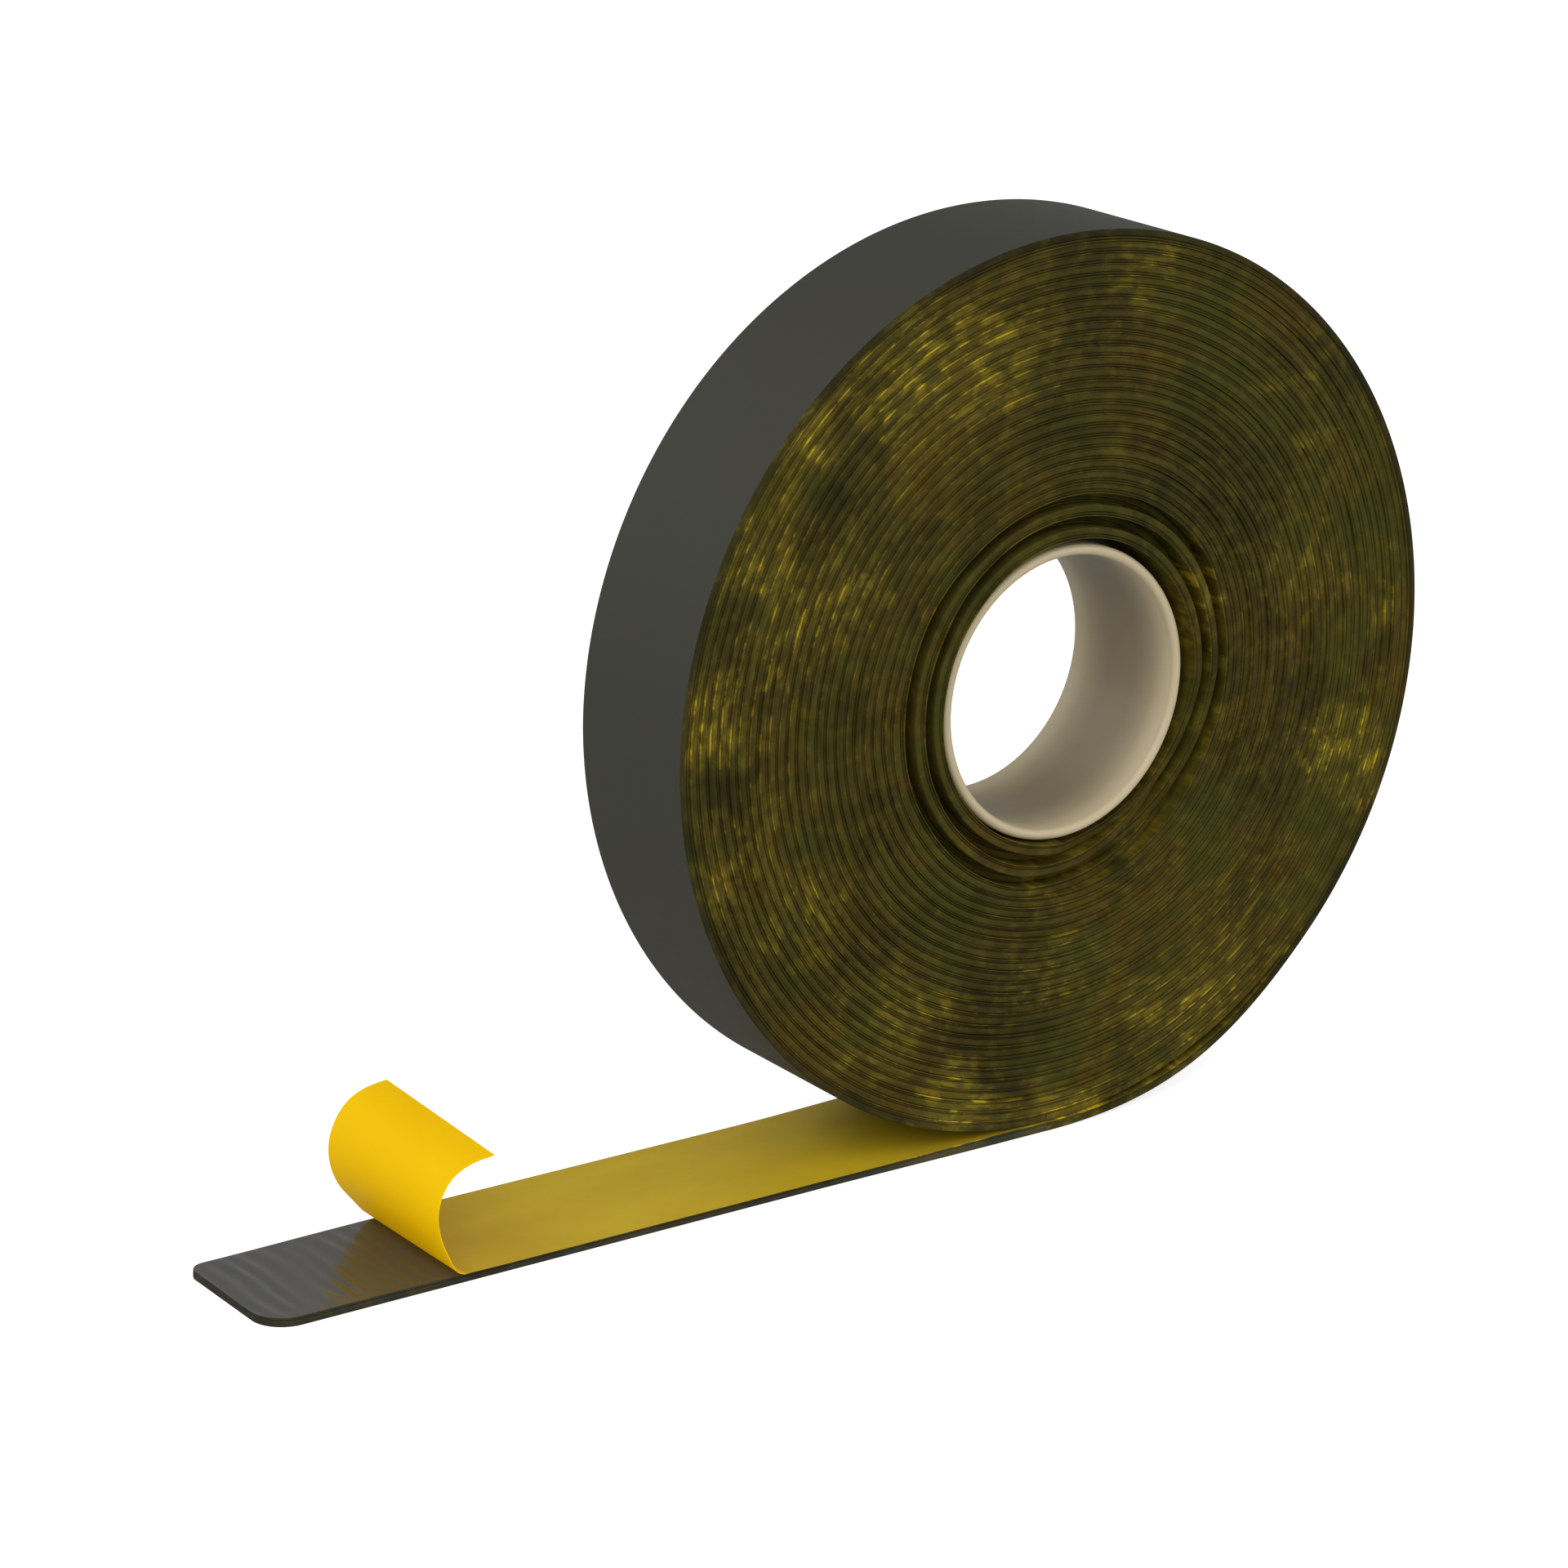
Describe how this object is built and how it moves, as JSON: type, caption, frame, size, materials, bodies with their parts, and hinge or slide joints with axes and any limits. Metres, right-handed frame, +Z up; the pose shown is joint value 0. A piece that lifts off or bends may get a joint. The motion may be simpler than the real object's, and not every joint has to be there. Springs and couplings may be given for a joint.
{
  "type": "electrical tape roll",
  "caption": "Wide flat-sided roll of liner-backed self-adhesive rubber electrical tape on a hollow core, tail drawn out and liner peeled back.",
  "frame": {"origin": "centre of the core's bore, half way along it", "axes": "+Y along the bore, +Z up as the roll stands on its tread, the tail runs out towards -X"},
  "size_m": [0.1552, 0.0194, 0.1055],
  "materials": {
    "core": "satin",
    "backing": "satin",
    "adhesive": "gloss",
    "liner": "satin"
  },
  "bodies": {
    "outer_turn": {"outer_turn_backing": "backing", "outer_turn_adhesive": "adhesive", "outer_turn_liner": "liner"},
    "wound_roll": {"core": "core", "wound_backing": "backing", "wound_adhesive": "adhesive", "wound_liner": "liner"},
    "tail_run": {"tail_run_backing": "backing", "tail_run_adhesive": "adhesive", "tail_run_liner": "liner"},
    "tail_end": {"tail_end_backing": "backing", "tail_end_adhesive": "adhesive", "tail_end_liner": "liner"},
    "liner_curl": {"liner_curl": "liner"},
    "liner_tip": {"liner_tip": "liner"}
  },
  "joints": [
    {"name": "roll_turn", "type": "hinge", "parent": "outer_turn", "child": "wound_roll", "pos_m": [0, 0, 0], "axis": [0, 1, 0], "range_deg": [0, 30]},
    {"name": "tail_feed", "type": "slide", "parent": "outer_turn", "child": "tail_run", "axis": [-1, 0, 0], "range_m": [0, 0.0275]},
    {"name": "tail_lift", "type": "hinge", "parent": "tail_run", "child": "tail_end", "pos_m": [-0.04205, 0, -0.05181], "axis": [0, 1, 0], "range_deg": [0, 25]},
    {"name": "liner_peel", "type": "slide", "parent": "tail_end", "child": "liner_curl", "axis": [1, 0, 0], "range_m": [0, 0.02]},
    {"name": "liner_flex", "type": "hinge", "parent": "liner_curl", "child": "liner_tip", "pos_m": [-0.08394, 0, -0.04411], "axis": [0, 1, 0], "range_deg": [-20, 25], "stiffness_Nm_per_rad": 0.0001}
  ],
  "couplings": [
    {"joint": "tail_feed", "follows": "roll_turn", "m_per_rad": 0.05243}
  ]
}
